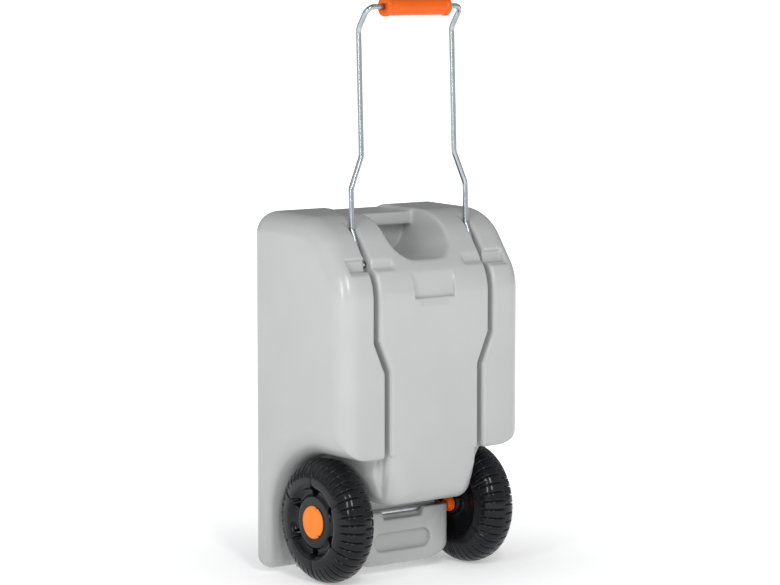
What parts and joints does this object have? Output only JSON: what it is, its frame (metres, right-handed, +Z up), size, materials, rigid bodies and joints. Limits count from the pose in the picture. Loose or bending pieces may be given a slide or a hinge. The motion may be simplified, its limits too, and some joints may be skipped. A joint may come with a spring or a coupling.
{
  "type": "portable waste water tank",
  "caption": "Wheeled blow-moulded tank for waste water, with a wire bail and grip that fold down its front, screw caps on its back and hollow wheels on a plain axle",
  "frame": {"origin": "On the floor, under the middle of the whole object.", "axes": "X runs across the tank along the axle, the grooved front faces -Y and the flat back faces +Y, and Z is up."},
  "size_m": [0.336, 0.224, 0.8454],
  "materials": {
    "grey_polyethylene": "light grey blow-moulded polyethylene, finely grained",
    "orange_plastic": "smooth orange moulded plastic",
    "black_polyethylene": "glossy black blow-moulded polyethylene",
    "zinc_plated_wire": "bright zinc plating on drawn steel wire",
    "zinc_plated_steel": "zinc-plated plain steel",
    "black_rubber": "matt black rubber",
    "black_cap_plastic": "black moulded plastic"
  },
  "bodies": {
    "tank": {"tank_body": "grey_polyethylene", "axle": "zinc_plated_steel", "axle_spacer_left": "orange_plastic", "axle_spacer_right": "orange_plastic", "axle_washer_left": "zinc_plated_steel", "axle_washer_right": "zinc_plated_steel", "axle_push_nut_left": "zinc_plated_steel", "axle_push_nut_right": "zinc_plated_steel"},
    "bail": {"handle_bail": "zinc_plated_wire"},
    "grip": {"handle_grip": "orange_plastic"},
    "left_wheel": {"wheel_left": "black_polyethylene", "wheel_bush_left": "orange_plastic", "hub_cap_left": "orange_plastic"},
    "right_wheel": {"wheel_right": "black_polyethylene", "wheel_bush_right": "orange_plastic", "hub_cap_right": "orange_plastic"},
    "inlet_seal": {"inlet_gasket": "black_rubber"},
    "inlet_lid": {"inlet_cap": "black_cap_plastic"},
    "drain_seal": {"drain_gasket": "black_rubber"},
    "drain_lid": {"drain_cap": "black_cap_plastic"}
  },
  "joints": [
    {"name": "handle_fold", "type": "hinge", "parent": "tank", "child": "bail", "pos_m": [0, -0.0705, 0.4645], "axis": [1, 0, 0], "range_deg": [0, 182]},
    {"name": "grip_spin", "type": "hinge", "parent": "bail", "child": "grip", "pos_m": [0, -0.06068, 0.8311], "axis": [1, 0, 0], "continuous": true},
    {"name": "wheel_left_spin", "type": "hinge", "parent": "tank", "child": "left_wheel", "pos_m": [-0.1305, -0.021, 0.091], "axis": [1, 0, 0], "continuous": true},
    {"name": "wheel_right_spin", "type": "hinge", "parent": "tank", "child": "right_wheel", "pos_m": [0.1305, -0.021, 0.091], "axis": [1, 0, 0], "continuous": true},
    {"name": "inlet_lift", "type": "slide", "parent": "tank", "child": "inlet_seal", "axis": [0, 1, 0], "range_m": [0, 0.0081]},
    {"name": "inlet_turn", "type": "hinge", "parent": "inlet_seal", "child": "inlet_lid", "pos_m": [0, 0.102, 0.345], "axis": [0, 1, 0], "range_deg": [0, 720]},
    {"name": "drain_lift", "type": "slide", "parent": "tank", "child": "drain_seal", "axis": [0, 1, 0], "range_m": [0, 0.0081]},
    {"name": "drain_turn", "type": "hinge", "parent": "drain_seal", "child": "drain_lid", "pos_m": [0, 0.102, 0.082], "axis": [0, 1, 0], "range_deg": [0, 720]}
  ],
  "couplings": [
    {"joint": "inlet_lift", "follows": "inlet_turn", "m_per_rad": 0.00063662},
    {"joint": "drain_lift", "follows": "drain_turn", "m_per_rad": 0.00063662}
  ]
}
